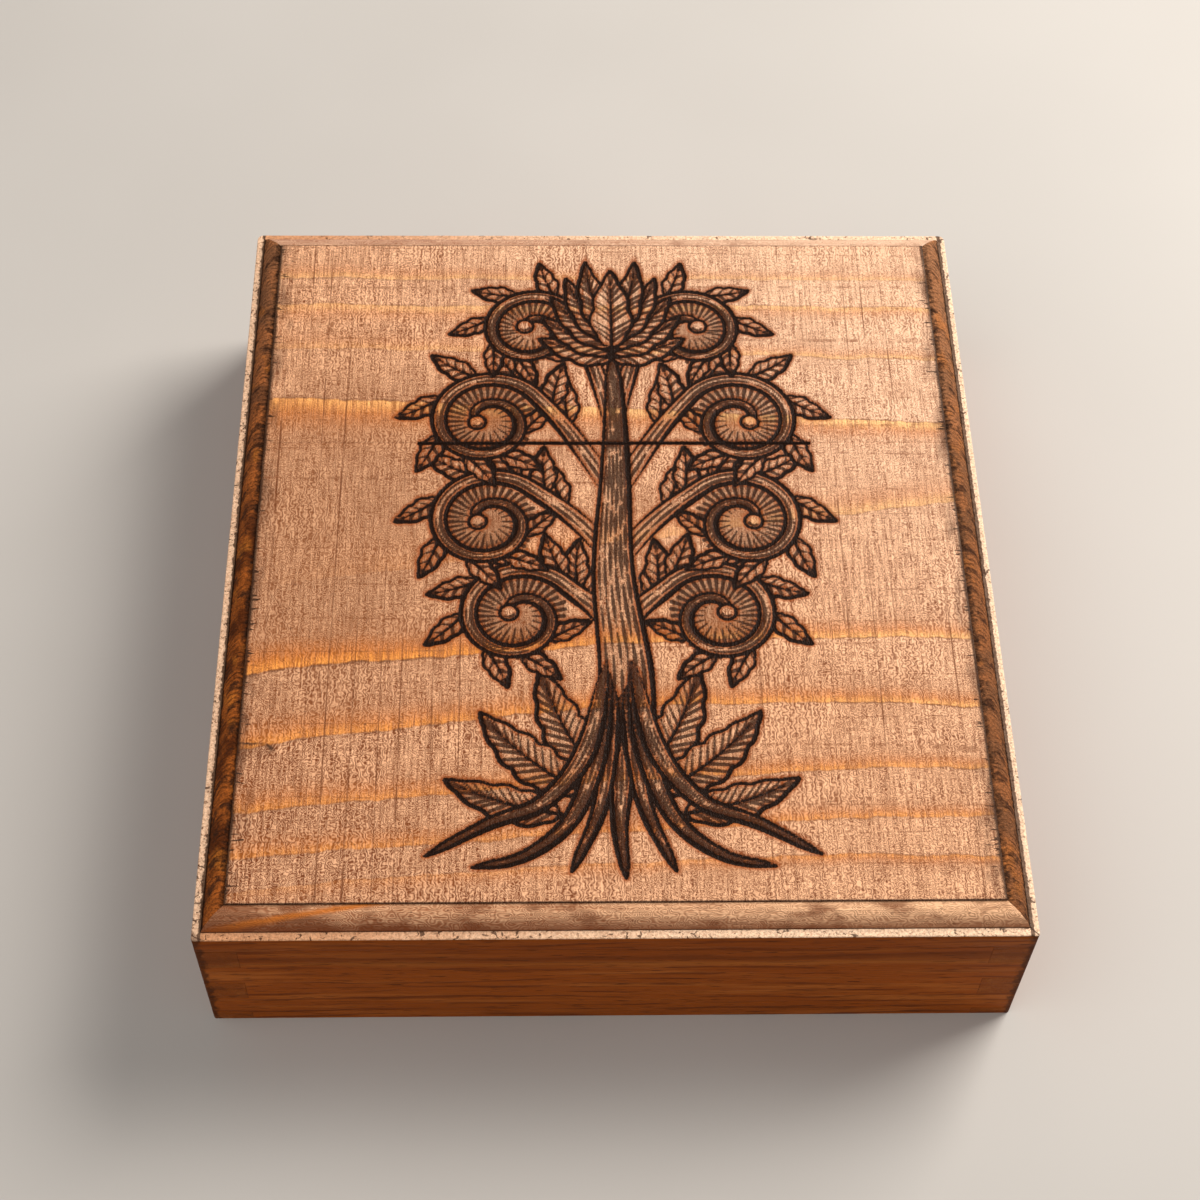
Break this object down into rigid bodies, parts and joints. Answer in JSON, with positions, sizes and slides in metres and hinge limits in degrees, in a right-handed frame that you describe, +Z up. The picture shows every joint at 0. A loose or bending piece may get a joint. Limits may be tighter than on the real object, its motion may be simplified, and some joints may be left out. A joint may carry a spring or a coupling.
{
  "type": "sliding lid wooden box",
  "caption": "Flat finger-jointed wooden box for papers and keepsakes, with an engraved lid that slides back on runners under it.",
  "frame": {"origin": "centre of the box's footprint, on the surface that it stands on", "axes": "+X to the right, +Y from front to rear, the way that the lid slides open, +Z up"},
  "size_m": [0.16, 0.18, 0.0386],
  "materials": {
    "wall_pine": "sanded, stained warm brown, thin matt wax",
    "lid_pine": "sanded, light stain, matt, with burnt engraving",
    "panel_pine": "planed, bare",
    "runner_beech": "planed, waxed",
    "screw_brass": "bright turned"
  },
  "bodies": {
    "box": {"front_wall": "wall_pine", "rear_wall": "wall_pine", "left_wall": "wall_pine", "right_wall": "wall_pine", "bottom_panel": "panel_pine"},
    "lid": {"lid_front_board": "lid_pine", "lid_rear_board": "lid_pine", "left_runner": "runner_beech", "right_runner": "runner_beech", "rear_batten": "runner_beech", "left_runner_screws": "screw_brass", "right_runner_screws": "screw_brass", "batten_screws": "screw_brass"}
  },
  "joints": [
    {"name": "lid_slide", "type": "slide", "parent": "box", "child": "lid", "axis": [0, 1, 0], "range_m": [0, 0.172]}
  ]
}
